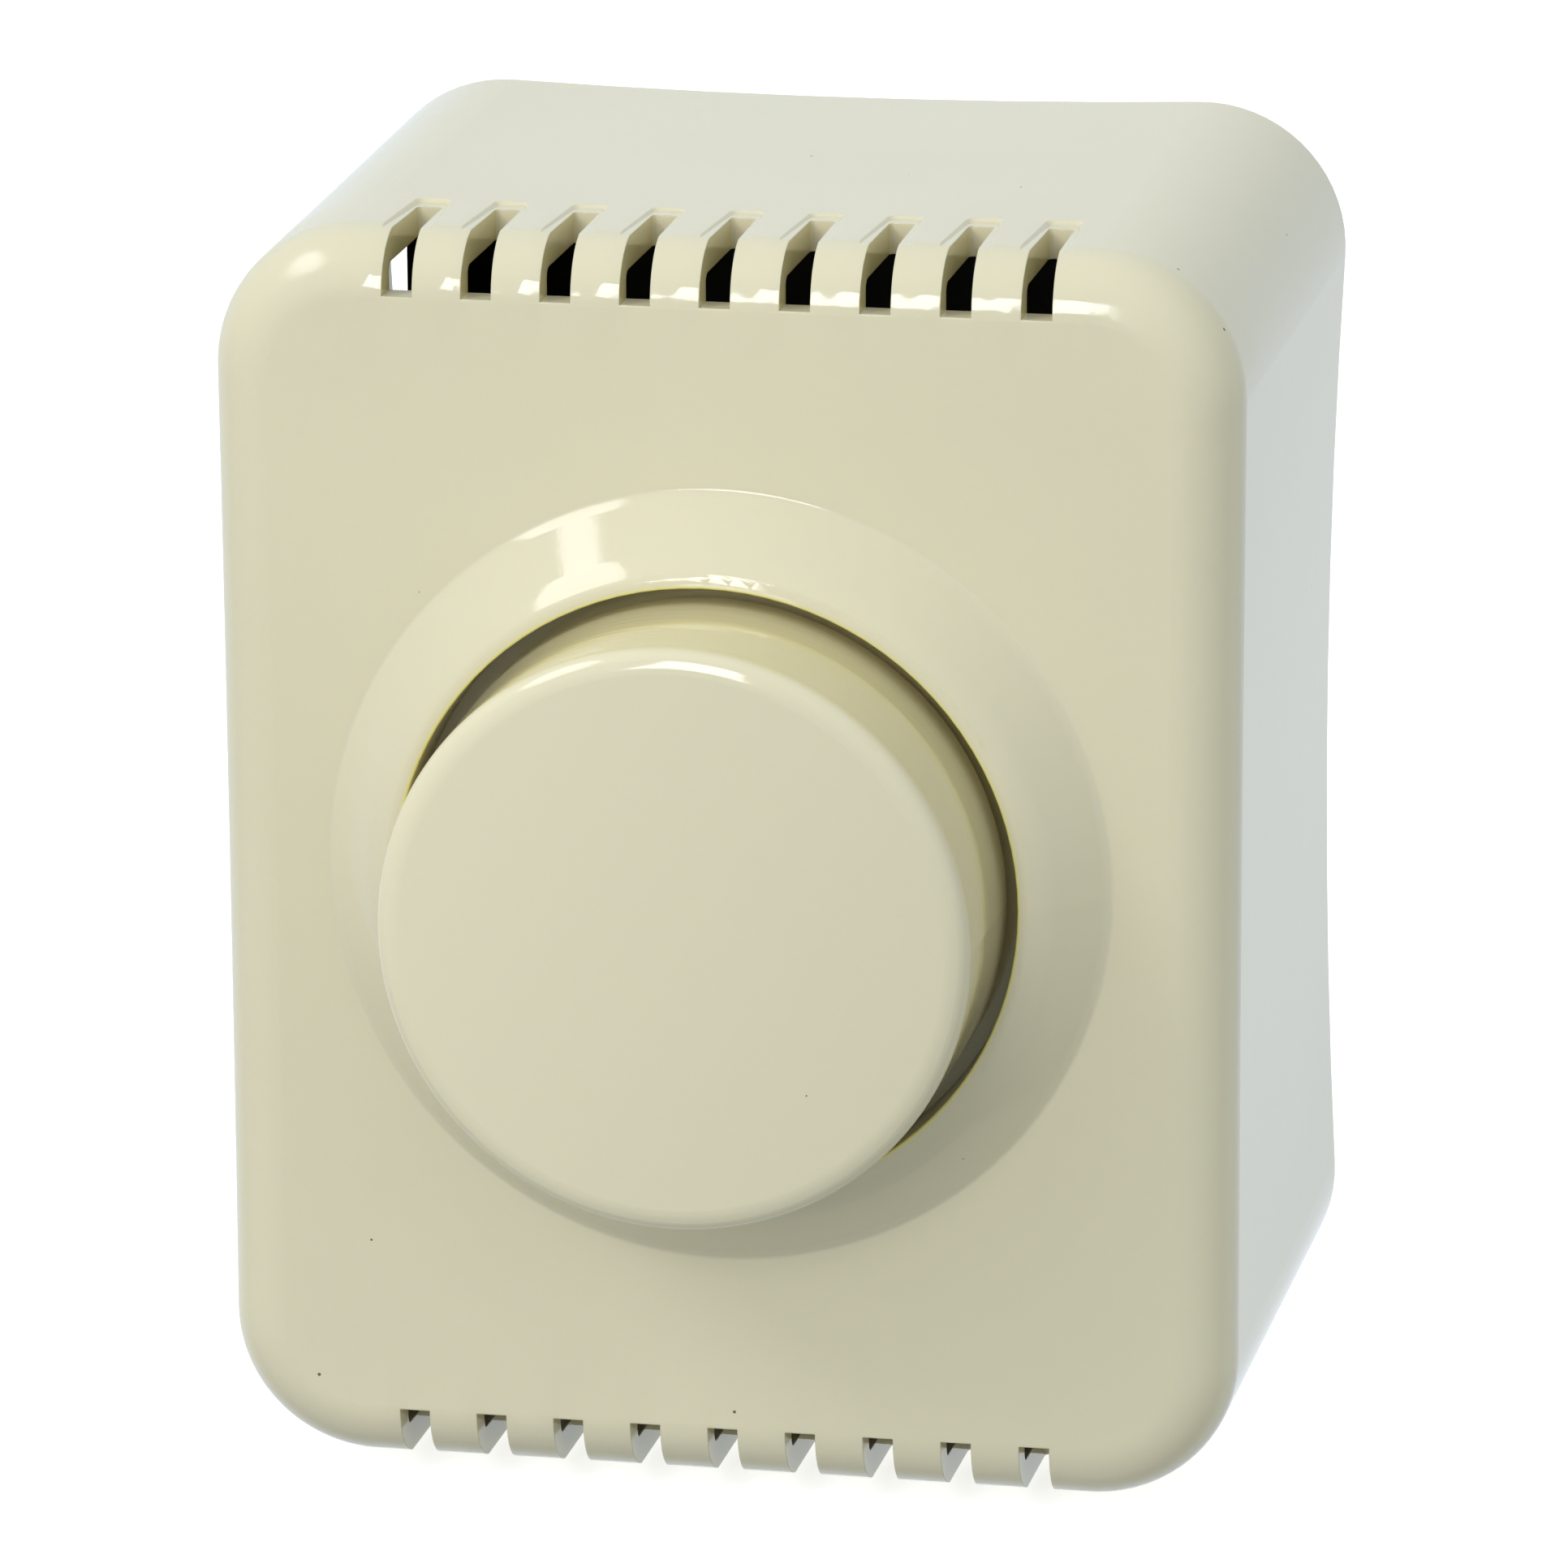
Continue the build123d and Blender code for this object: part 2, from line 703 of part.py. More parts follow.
save(board_screws, "board_screws")

# ---- terminal block ----
block_depth = 9.5
block_front = 31.6
clamp_width = 5.6
clamp_depth = 7.0
clamp_rear = 20.8
clamp_front = 27.0
wire_height = 23.4
wire_radius = 1.6
wire_lead_in = 0.3
terminal_screw_radius = 2.0
terminal_screw_play = 0.25
terminal_thread_radius = 1.4
with BuildPart() as terminal_block:
    with BuildSketch(level(board_front)):
        with Locations((0, block_z)):
            Rectangle(pole_count * pole_pitch + 1, block_depth)
    extrude(amount=block_front - board_front)
    with BuildSketch(level(clamp_rear)):
        with Locations((0, block_z)):
            with GridLocations(pole_pitch, 0, pole_count, 1):
                Rectangle(clamp_width, clamp_depth)
    extrude(amount=clamp_front - clamp_rear, mode=Mode.SUBTRACT)
    with BuildSketch(level(clamp_front)):
        with Locations((0, block_z)):
            with GridLocations(pole_pitch, 0, pole_count, 1):
                Circle(terminal_screw_radius + terminal_screw_play)
    extrude(amount=block_front, mode=Mode.SUBTRACT)
    with BuildSketch(Plane.XY.offset(block_z - block_depth)):
        with Locations((0, -wire_height)):
            with GridLocations(pole_pitch, 0, pole_count, 1):
                Circle(wire_radius + wire_lead_in)
    extrude(amount=block_depth, mode=Mode.SUBTRACT)
save(terminal_block, "terminal_block")

with BuildPart() as terminal_clamps:
    with BuildSketch(level(clamp_rear)):
        with Locations((0, block_z)):
            with GridLocations(pole_pitch, 0, pole_count, 1):
                Rectangle(clamp_width, clamp_depth)
    extrude(amount=clamp_front - clamp_rear)
    with BuildSketch(Plane.XY.offset(block_z - block_depth)):
        with Locations((0, -wire_height)):
            with GridLocations(pole_pitch, 0, pole_count, 1):
                Circle(wire_radius)
    extrude(amount=2 * block_depth, mode=Mode.SUBTRACT)
    with BuildSketch(level(wire_height)):
        with Locations((0, block_z)):
            with GridLocations(pole_pitch, 0, pole_count, 1):
                Circle(terminal_thread_radius)
    extrude(amount=clamp_front, mode=Mode.SUBTRACT)
save(terminal_clamps, "terminal_clamps")

terminal_screw_front = 29.4
terminal_head_rear = clamp_front + 0.6
terminal_thread_rear = wire_height + 1.8
terminal_slot_depth = 0.8
terminal_slot_width = 0.7
with BuildPart() as terminal_screws:
    with BuildSketch(level(terminal_head_rear)):
        with Locations((0, block_z)):
            with GridLocations(pole_pitch, 0, pole_count, 1):
                Circle(terminal_screw_radius)
    extrude(amount=terminal_screw_front - terminal_head_rear)
    with BuildSketch(level(terminal_screw_front - terminal_slot_depth)):
        with Locations((0, block_z)):
            with GridLocations(pole_pitch, 0, pole_count, 1):
                Rectangle(2 * (terminal_screw_radius + cut_past), terminal_slot_width)
    extrude(amount=cut_past, mode=Mode.SUBTRACT)
    with BuildSketch(level(terminal_thread_rear)):
        with Locations((0, block_z)):
            with GridLocations(pole_pitch, 0, pole_count, 1):
                Circle(terminal_thread_radius)
    extrude(amount=terminal_head_rear - terminal_thread_rear)
save(terminal_screws, "terminal_screws")

# ---- interference choke: a ring core with a wound coil ----
choke_height = 24.0
core_inner = 4.5
core_outer = 8.0
core_half_height = 3.3
turn_count = 20
turn_wire = 0.7
turn_gap = 0.1
turn_corner = 0.8
core_middle = (core_inner + core_outer) / 2
turn_inner_width = core_outer - core_inner + 2 * turn_gap
turn_inner_height = 2 * (core_half_height + turn_gap)
with BuildPart() as choke_core:
    with BuildSketch(level(choke_height - core_half_height)):
        with Locations((choke_x, choke_z)):
            Circle(core_outer)
            Circle(core_inner, mode=Mode.SUBTRACT)
    extrude(amount=2 * core_half_height)
save(choke_core, "choke_core")

with BuildPart() as choke_winding:
    for turn in range(turn_count):
        angle = 2 * pi * turn / turn_count
        outward = (cos(angle), 0, sin(angle))
        along = (-sin(angle), 0, cos(angle))
        middle = (choke_x + core_middle * outward[0], -choke_height, choke_z + core_middle * outward[2])
        with BuildSketch(Plane(origin=middle, x_dir=outward, z_dir=along)):
            RectangleRounded(turn_inner_width + 2 * turn_wire, turn_inner_height + 2 * turn_wire, turn_corner)
            Rectangle(turn_inner_width, turn_inner_height, mode=Mode.SUBTRACT)
        extrude(amount=turn_wire / 2, both=True)
save(choke_winding, "choke_winding")

# ---- capacitors ----
suppression_width = 17.4
suppression_thickness = 8.0
suppression_rise = 13.5
timing_width = 10.0
timing_thickness = 4.2
timing_rise = 8.5
case_corner_round = 0.5
case_top_round = 0.4
with BuildPart() as suppression_capacitor:
    with BuildSketch(level(board_front)):
        with Locations((suppression_x, suppression_z)):
            Rectangle(suppression_width, suppression_thickness)
    extrude(amount=suppression_rise)
    fillet(suppression_capacitor.edges().filter_by(Axis.Y), case_corner_round)
    fillet(suppression_capacitor.faces().sort_by(Axis.Y)[0].edges(), case_top_round)
save(suppression_capacitor, "suppression_capacitor")

with BuildPart() as timing_capacitor:
    with BuildSketch(level(board_front)):
        with Locations((timing_x, timing_z)):
            Rectangle(timing_width, timing_thickness)
    extrude(amount=timing_rise)
    fillet(timing_capacitor.edges().filter_by(Axis.Y), case_corner_round)
    fillet(timing_capacitor.faces().sort_by(Axis.Y)[0].edges(), case_top_round)
save(timing_capacitor, "timing_capacitor")

# ---- triac on its heatsink ----
plate_thickness = 1.6
heatsink_rear = board_front + 0.4
heatsink_length = 19.6
heatsink_half_width = 13.4
fin_count = 9
fin_depth = 3.2
fin_thickness = 1.1
fin_pitch = (2 * heatsink_half_width - fin_thickness) / (fin_count - 1)
tab_hole_height = 35.5
tab_hole_radius = 1.6
with BuildPart() as heatsink:
    with BuildSketch(level(heatsink_rear)):
        with Locations((plate_x + plate_thickness / 2, 0)):
            Rectangle(plate_thickness, 2 * heatsink_half_width)
        with Locations((plate_x + plate_thickness + (fin_depth - overlap) / 2, 0)):
            with GridLocations(0, fin_pitch, 1, fin_count):
                Rectangle(fin_depth + overlap, fin_thickness)
    extrude(amount=heatsink_length)
    with BuildSketch(Plane.YZ.offset(plate_x - cut_past)):
        with Locations((-tab_hole_height, 0)):
            Circle(tab_hole_radius)
    extrude(amount=plate_thickness + 2 * cut_past, mode=Mode.SUBTRACT)
save(heatsink, "heatsink")

triac_rear = 23.0
triac_body_front = 32.5
triac_tab_front = 38.6
triac_width = 10.0
triac_thickness = 4.4
tab_thickness = 1.3
leg_thickness = 0.5
leg_width = 0.8
with BuildPart() as triac:
    with BuildSketch(level(triac_rear)):
        with Locations((plate_x - triac_thickness / 2, 0)):
            Rectangle(triac_thickness, triac_width)
    extrude(amount=triac_body_front - triac_rear)
    with BuildSketch(level(triac_body_front)):
        with Locations((plate_x - tab_thickness / 2, 0)):
            Rectangle(tab_thickness, triac_width)
    extrude(amount=triac_tab_front - triac_body_front)
    with BuildSketch(Plane.YZ.offset(plate_x + cut_past)):
        with Locations((-tab_hole_height, 0)):
            Circle(tab_hole_radius)
    extrude(amount=-tab_thickness - 2 * cut_past, mode=Mode.SUBTRACT)
    with BuildSketch(level(board_rear)):
        with Locations((leg_x, 0)):
            with GridLocations(0, leg_pitch, 1, 3):
                Rectangle(leg_thickness, leg_width)
    extrude(amount=triac_rear - board_rear)
save(triac, "triac")

heatsink_head_radius = 2.8
heatsink_head = 1.8
heatsink_screw_end = 1.0
with BuildPart() as heatsink_screw:
    with BuildSketch(Plane.YZ.offset(plate_x - tab_thickness)):
        with Locations((-tab_hole_height, 0)):
            Circle(heatsink_head_radius)
    extrude(amount=-heatsink_head)
    with BuildSketch(Plane.YZ.offset(plate_x - tab_thickness)):
        with Locations((-tab_hole_height, 0)):
            Circle(tab_hole_radius)
    extrude(amount=tab_thickness + plate_thickness + heatsink_screw_end)
    with BuildSketch(Plane.YZ.offset(plate_x - tab_thickness - heatsink_head)):
        with Locations((-tab_hole_height, 0)):
            Rectangle(terminal_slot_width, 2 * (heatsink_head_radius + cut_past))
    extrude(amount=terminal_slot_depth, mode=Mode.SUBTRACT)
save(heatsink_screw, "heatsink_screw")

# ---- fuse and its clips ----
fuse_height = 23.8
fuse_length = 20.0
fuse_radius = 2.5
cap_length = 5.0
cap_side = 0.2
cap_end = 0.5
glass_thickness = 0.4
fuse_wire_radius = 0.2
with BuildPart() as fuse_tube:
    with BuildSketch(Plane.XY.offset(fuse_z - fuse_length / 2 + cap_end)):
        with Locations((fuse_x, -fuse_height)):
            Circle(fuse_radius - cap_side)
            Circle(fuse_radius - cap_side - glass_thickness, mode=Mode.SUBTRACT)
    extrude(amount=fuse_length - 2 * cap_end)
save(fuse_tube, "fuse_tube")

with BuildPart() as fuse_caps:
    for side in (1, -1):
        with BuildSketch(Plane.XY.offset(fuse_z + side * fuse_length / 2)):
            with Locations((fuse_x, -fuse_height)):
                Circle(fuse_radius)
        extrude(amount=-side * cap_length)
        with BuildSketch(Plane.XY.offset(fuse_z + side * (fuse_length / 2 - cap_end))):
            with Locations((fuse_x, -fuse_height)):
                Circle(fuse_radius - cap_side)
        extrude(amount=-side * cap_length, mode=Mode.SUBTRACT)
save(fuse_caps, "fuse_caps")

with BuildPart() as fuse_wire:
    with BuildSketch(Plane.XY.offset(fuse_z - fuse_length / 2 + cap_end)):
        with Locations((fuse_x, -fuse_height)):
            Circle(fuse_wire_radius)
    extrude(amount=fuse_length - 2 * cap_end)
save(fuse_wire, "fuse_wire")

clip_length = 4.0
clip_sheet = 0.4
clip_front = fuse_height + 1.5
with BuildPart() as fuse_clips:
    for side in (1, -1):
        with BuildSketch(Plane.XY.offset(fuse_z + side * (fuse_length / 2 - cap_end))):
            with Locations((fuse_x, -(board_front + clip_sheet / 2))):
                Rectangle(2 * (fuse_radius + clip_sheet), clip_sheet)
            with Locations((fuse_x, -(board_front + clip_front) / 2)):
                with GridLocations(2 * fuse_radius + clip_sheet, 0, 2, 1):
                    Rectangle(clip_sheet, clip_front - board_front)
        extrude(amount=-side * clip_length)
save(fuse_clips, "fuse_clips")

# ---- minimum-brightness trimmer ----
trimmer_size = 7.0
trimmer_front = 23.8
trimmer_floor = 21.4
trimmer_rotor_radius = 2.5
trimmer_rotor_gap = 0.1
trimmer_rotor_rise = 0.2
trimmer_cross_length = 3.6
trimmer_cross_width = 0.8
trimmer_cross_depth = 0.7
trimmer_rotor_front = trimmer_front + trimmer_rotor_rise
with BuildPart() as trimmer_body:
    with BuildSketch(level(board_front)):
        with Locations((trimmer_x, trimmer_z)):
            Rectangle(trimmer_size, trimmer_size)
    extrude(amount=trimmer_front - board_front)
    with BuildSketch(level(trimmer_floor)):
        with Locations((trimmer_x, trimmer_z)):
            Circle(trimmer_rotor_radius + running_gap)
    extrude(amount=trimmer_front - trimmer_floor, mode=Mode.SUBTRACT)
save(trimmer_body, "trimmer_body")

with BuildPart() as trimmer_rotor:
    with BuildSketch(level(trimmer_floor + trimmer_rotor_gap)):
        with Locations((trimmer_x, trimmer_z)):
            Circle(trimmer_rotor_radius)
    extrude(amount=trimmer_rotor_front - trimmer_floor - trimmer_rotor_gap)
    with BuildSketch(level(trimmer_rotor_front - trimmer_cross_depth)):
        with Locations((trimmer_x, trimmer_z)):
            Rectangle(trimmer_cross_length, trimmer_cross_width)
            Rectangle(trimmer_cross_width, trimmer_cross_length)
    extrude(amount=cut_past, mode=Mode.SUBTRACT)
save(trimmer_rotor, "trimmer_rotor")

# ---- resistors and diac ----
resistor_height = board_front + 1.5
resistor_length = 6.0
resistor_radius = 1.1
lead_radius = 0.3
with BuildPart() as resistors:
    for place in range(3):
        z = resistor_first_z - place * resistor_pitch
        with BuildSketch(Plane.YZ.offset(resistor_x - resistor_length / 2)):
            with Locations((-resistor_height, z)):
                Circle(resistor_radius)
        extrude(amount=resistor_length)
save(resistors, "resistors")

with BuildPart() as resistor_leads:
    for place in range(3):
        z = resistor_first_z - place * resistor_pitch
        for side in (1, -1):
            end_x = resistor_x + side * resistor_lead_span / 2
            with BuildSketch(Plane.YZ.offset(resistor_x + side * resistor_length / 2)):
                with Locations((-resistor_height, z)):
                    Circle(lead_radius)
            extrude(amount=side * (resistor_lead_span - resistor_length) / 2)
            with BuildSketch(level(board_rear)):
                with Locations((end_x, z)):
                    Circle(lead_radius)
            extrude(amount=resistor_height - board_rear)
save(resistor_leads, "resistor_leads")

diac_length = 4.2
diac_radius = 0.95
diac_height = board_front + 1.2
with BuildPart() as diac:
    with BuildSketch(Plane.XY.offset(diac_z - diac_length / 2)):
        with Locations((0, -diac_height)):
            Circle(diac_radius)
    extrude(amount=diac_length)
save(diac, "diac")

# ---- solder joints on the wall side of the board ----
solder_height = 1.1
solder_taper = 0.45
with BuildPart() as solder_joints:
    with BuildSketch(level(board_rear - solder_height)):
        with Locations(*lead_points):
            Circle(solder_radius)
    extrude(amount=solder_height)
    chamfer(solder_joints.edges().group_by(Axis.Y)[-1], solder_taper)
save(solder_joints, "solder_joints")
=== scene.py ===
import json
import math

import bpy
from mathutils import Matrix, Vector


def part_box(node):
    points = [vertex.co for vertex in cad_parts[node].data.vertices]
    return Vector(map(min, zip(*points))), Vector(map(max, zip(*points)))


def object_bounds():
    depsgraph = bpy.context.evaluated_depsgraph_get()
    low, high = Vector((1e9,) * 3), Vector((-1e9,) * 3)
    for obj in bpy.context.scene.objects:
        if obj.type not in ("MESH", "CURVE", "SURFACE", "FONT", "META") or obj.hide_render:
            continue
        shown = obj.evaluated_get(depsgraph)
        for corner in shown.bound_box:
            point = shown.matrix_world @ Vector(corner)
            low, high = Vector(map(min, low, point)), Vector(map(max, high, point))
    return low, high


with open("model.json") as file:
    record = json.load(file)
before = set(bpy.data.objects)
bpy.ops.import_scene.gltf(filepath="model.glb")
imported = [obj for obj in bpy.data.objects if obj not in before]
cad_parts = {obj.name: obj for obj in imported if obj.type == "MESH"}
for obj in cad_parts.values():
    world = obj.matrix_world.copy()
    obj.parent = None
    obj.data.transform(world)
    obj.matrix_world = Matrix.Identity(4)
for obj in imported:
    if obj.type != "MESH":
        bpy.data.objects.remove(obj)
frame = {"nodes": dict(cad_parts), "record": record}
cad_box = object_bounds()

MM = 0.001
nodes = frame["nodes"]

# Radii about the knob's axis, then the spacing of the vent slots and half the length of a row.
WELL_RADIUS = 19.7 * MM
CONE_START = 21.1 * MM
CONE_END = 24.5 * MM
SLOT_PITCH = 5.0 * MM
SLOT_ROW_END = 22.0 * MM


# ---- node helpers ----
def new_material(name):
    """A material with an empty Principled surface: returns (material, node tree, shader)."""
    material = bpy.data.materials.new(name)
    material.use_nodes = True
    tree = material.node_tree
    return material, tree, tree.nodes["Principled BSDF"]


def link(tree, out_socket, in_socket):
    tree.links.new(out_socket, in_socket)


def object_coordinates(tree):
    return tree.nodes.new("ShaderNodeTexCoord").outputs["Object"]


def axes_of(tree, vector):
    """The X, Y and Z parts of a vector, as sockets."""
    split = tree.nodes.new("ShaderNodeSeparateXYZ")
    link(tree, vector, split.inputs["Vector"])
    return split.outputs["X"], split.outputs["Y"], split.outputs["Z"]


def position(tree):
    """The X, Y and Z of the point being shaded."""
    return axes_of(tree, object_coordinates(tree))


def surface_normal(tree):
    """The X, Y and Z parts of the normal of the point being shaded."""
    return axes_of(tree, tree.nodes.new("ShaderNodeTexCoord").outputs["Normal"])


def noise(tree, scale, detail=2.0, roughness=0.5):
    node = tree.nodes.new("ShaderNodeTexNoise")
    node.inputs["Scale"].default_value = scale
    node.inputs["Detail"].default_value = detail
    node.inputs["Roughness"].default_value = roughness
    link(tree, object_coordinates(tree), node.inputs["Vector"])
    return node.outputs["Fac"]


def remap(tree, value, low, high, from_low=0.0, from_high=1.0):
    node = tree.nodes.new("ShaderNodeMapRange")
    node.inputs["From Min"].default_value = from_low
    node.inputs["From Max"].default_value = from_high
    node.inputs["To Min"].default_value = low
    node.inputs["To Max"].default_value = high
    link(tree, value, node.inputs["Value"])
    return node.outputs["Result"]


def math_node(tree, operation, first, second=None):
    node = tree.nodes.new("ShaderNodeMath")
    node.operation = operation
    for socket, value in zip(node.inputs, (first, second)):
        if value is None:
            continue
        if isinstance(value, (int, float)):
            socket.default_value = value
        else:
            link(tree, value, socket)
    return node.outputs[0]


def multiply(tree, first, second):
    return math_node(tree, "MULTIPLY", first, second)


def absolute(tree, value):
    return math_node(tree, "ABSOLUTE", value)


def axis_distance(tree, x, z):
    """Distance from the knob's axis."""
    squares = math_node(tree, "ADD", multiply(tree, x, x), multiply(tree, z, z))
    return math_node(tree, "SQRT", squares)


def mix_colour(tree, factor, first, second):
    node = tree.nodes.new("ShaderNodeMix")
    node.data_type = "RGBA"
    link(tree, factor, node.inputs[0])
    for socket, value in ((node.inputs[6], first), (node.inputs[7], second)):
        if isinstance(value, (tuple, list)):
            socket.default_value = (*value, 1.0)
        else:
            link(tree, value, socket)
    return node.outputs[2]


def bump(tree, height, strength, distance, normal=None):
    node = tree.nodes.new("ShaderNodeBump")
    node.inputs["Strength"].default_value = strength
    node.inputs["Distance"].default_value = distance
    link(tree, height, node.inputs["Height"])
    if normal is not None:
        link(tree, normal, node.inputs["Normal"])
    return node.outputs["Normal"]


def scaled(colour, factor):
    return tuple(channel * factor for channel in colour)


# ---- materials ----
CREAM = (0.76, 0.708, 0.512)
# The next two colours are painted light: a deeper cream painted as shade in recesses and on the knob's
# side, and a yellow painted as a glow on the edge of the collar's mouth.
PAINTED_SHADE_CREAM = (0.70, 0.625, 0.35)
PAINTED_RIM_GLOW = (0.85, 0.78, 0.30)
SPECK_COLOUR = (0.16, 0.14, 0.08)
CREAM_ROUGHNESS = 0.07


def specks(tree, cells, radius, share):
    """Mask of sparse round dust specks: one per cell at most, in the given share of the cells."""
    points = tree.nodes.new("ShaderNodeTexVoronoi")
    points.inputs["Scale"].default_value = cells
    link(tree, object_coordinates(tree), points.inputs["Vector"])
    split = tree.nodes.new("ShaderNodeSeparateColor")
    link(tree, points.outputs["Color"], split.inputs["Color"])
    chosen = math_node(tree, "LESS_THAN", split.outputs["Red"], share)
    near = math_node(tree, "LESS_THAN", points.outputs["Distance"], radius * cells)
    return multiply(tree, chosen, near)


def stretched_noise(tree, across, along, detail):
    """Noise over two directions, each already scaled to its number of cells."""
    cells = tree.nodes.new("ShaderNodeCombineXYZ")
    link(tree, across, cells.inputs["X"])
    link(tree, along, cells.inputs["Y"])
    pattern = tree.nodes.new("ShaderNodeTexNoise")
    pattern.inputs["Scale"].default_value = 1.0
    pattern.inputs["Detail"].default_value = detail
    link(tree, cells.outputs["Vector"], pattern.inputs["Vector"])
    return pattern.outputs["Fac"]


def collar_streaks(tree):
    """Fine streaks that run down the cone of the collar, broken across here and there."""
    x, _, z = position(tree)
    away = axis_distance(tree, x, z)
    around = multiply(tree, math_node(tree, "ARCTAN2", z, x), 85.0)
    streaks = stretched_noise(tree, around, multiply(tree, away, 1600.0), 2.0)
    inner = remap(tree, away, 0.0, 1.0, CONE_START - 0.2 * MM, CONE_START + 0.2 * MM)
    outer = remap(tree, away, 1.0, 0.0, CONE_END - 0.3 * MM, CONE_END + 0.3 * MM)
    return multiply(tree, streaks, multiply(tree, inner, outer))


def vent_waves(tree):
    """Slight crowning of the bars between the vent slots, in units of its own height."""
    x, y, z = position(tree)
    angle = multiply(tree, x, 2 * math.pi / SLOT_PITCH)
    crown = multiply(tree, math_node(tree, "COSINE", angle), -1.0)
    ripple = math_node(tree, "SINE", multiply(tree, angle, 2.0))
    waves = math_node(tree, "ADD", crown, multiply(tree, ripple, 0.3))
    waves = multiply(tree, waves, remap(tree, x, 1.0, 0.6, -10.0 * MM, 5.0 * MM))
    edge = remap(tree, absolute(tree, z), 0.0, 1.0, 33.0 * MM, 37.0 * MM)
    front = remap(tree, y, 1.0, 0.0, -40.0 * MM, -35.0 * MM)
    side = remap(tree, absolute(tree, x), 1.0, 0.0, 21.0 * MM, 25.0 * MM)
    return multiply(tree, waves, multiply(tree, edge, multiply(tree, front, side)))


def painted_recess_shade(tree):
    """Mask where shade is painted: the well around the knob and the side faces of the vent slots."""
    x, _, z = position(tree)
    away = axis_distance(tree, x, z)
    well = remap(tree, away, 1.0, 0.0, WELL_RADIUS - 0.06 * MM, WELL_RADIUS + 0.06 * MM)
    facing_sideways = remap(tree, absolute(tree, surface_normal(tree)[0]), 0.0, 1.0, 0.85, 0.95)
    among_slots = math_node(tree, "LESS_THAN", absolute(tree, x), SLOT_ROW_END)
    return math_node(tree, "MAXIMUM", well, multiply(tree, facing_sideways, among_slots))


def cover_corners(tree):
    """Mask of the rounded upper corners of the cover, which have a softer gloss."""
    x, y, z = position(tree)
    beside = remap(tree, absolute(tree, x), 0.0, 1.0, 23.0 * MM, 26.0 * MM)
    above = remap(tree, z, 0.0, 1.0, 29.0 * MM, 33.0 * MM)
    front = remap(tree, y, 1.0, 0.0, -38.0 * MM, -34.0 * MM)
    return multiply(tree, beside, multiply(tree, above, front))


def mouth_glow_mask(tree):
    """Mask of the thin edge of the collar's mouth, where a yellow glow is painted."""
    x, y, z = position(tree)
    away = axis_distance(tree, x, z)
    outer = remap(tree, away, 1.0, 0.0, WELL_RADIUS + 0.06 * MM, WELL_RADIUS + 0.14 * MM)
    front = remap(tree, y, 1.0, 0.0, -50.15 * MM, -49.9 * MM)
    return multiply(tree, outer, front)


def knob_side(tree):
    """Mask of the side of the knob."""
    return remap(tree, absolute(tree, surface_normal(tree)[1]), 1.0, 0.0, 0.05, 0.6)


def knob_painted_shading(tree):
    """Painted shading across the knob: lighter towards the upper left, darker towards the lower right."""
    x, _, z = position(tree)
    slope = math_node(tree, "SUBTRACT", multiply(tree, z, 0.5), x)
    return remap(tree, slope, 0.0, 1.0, -18.0 * MM, 18.0 * MM)


def knob_rings(tree):
    """Faint rings around the side of the knob."""
    x, y, z = position(tree)
    rings = stretched_noise(tree, math_node(tree, "ARCTAN2", z, x), multiply(tree, y, 2200.0), 1.0)
    return multiply(tree, rings, knob_side(tree))


def cream_plastic(name, vented):
    """Glossy ivory moulded plastic: faint clouding, slow sink marks, mould texture, a few dust specks;
    painted shade in the cover's recesses and on the knob, and a painted glow on the edge of the collar's
    mouth.
    """
    material, tree, shader = new_material(name)
    clouds = remap(tree, noise(tree, 45.0, 3.0), 0.0, 1.0, 0.3, 0.7)
    colour = mix_colour(tree, clouds, scaled(CREAM, 0.985), scaled(CREAM, 1.015))
    gloss = remap(tree, noise(tree, 140.0, 4.0), CREAM_ROUGHNESS * 0.8, CREAM_ROUGHNESS * 1.25)
    edges = tree.nodes.new("ShaderNodeBevel")
    edges.samples = 4
    edges.inputs["Radius"].default_value = 0.12 * MM
    normal = bump(tree, noise(tree, 55.0, 1.0), 1.0, 0.02 * MM, edges.outputs["Normal"])
    if vented:
        # Painted shade: deeper cream in the well and on the side walls of the vent slots.
        colour = mix_colour(tree, painted_recess_shade(tree), colour, PAINTED_SHADE_CREAM)
        # Painted glow: a saturated yellow on the thin edge of the collar's mouth.
        colour = mix_colour(tree, mouth_glow_mask(tree), colour, PAINTED_RIM_GLOW)
        gloss = math_node(tree, "ADD", gloss, multiply(tree, cover_corners(tree), 0.14))
        normal = bump(tree, vent_waves(tree), 1.0, 0.045 * MM, normal)
        normal = bump(tree, collar_streaks(tree), 1.0, 0.003 * MM, normal)
    else:
        # Painted shading: the knob's face is lighter towards the upper left and darker towards the lower
        # right.
        colour = mix_colour(tree, knob_painted_shading(tree), scaled(CREAM, 0.955), scaled(CREAM, 1.07))
        # Painted shade: deeper cream on the side of the knob.
        colour = mix_colour(tree, multiply(tree, knob_side(tree), 0.8), colour, PAINTED_SHADE_CREAM)
        normal = bump(tree, knob_rings(tree), 1.0, 0.01 * MM, normal)
    colour = mix_colour(tree, specks(tree, 260.0, 0.11 * MM, 0.35), colour, SPECK_COLOUR)
    normal = bump(tree, noise(tree, 2400.0, 2.0), 1.0, 0.0012 * MM, normal)
    link(tree, colour, shader.inputs["Base Color"])
    link(tree, gloss, shader.inputs["Roughness"])
    link(tree, normal, shader.inputs["Normal"])
    shader.inputs["IOR"].default_value = 1.5
    shader.inputs["Subsurface Weight"].default_value = 0.15
    shader.inputs["Subsurface Radius"].default_value = (1.0, 0.85, 0.3)
    shader.inputs["Subsurface Scale"].default_value = 0.9 * MM
    return material


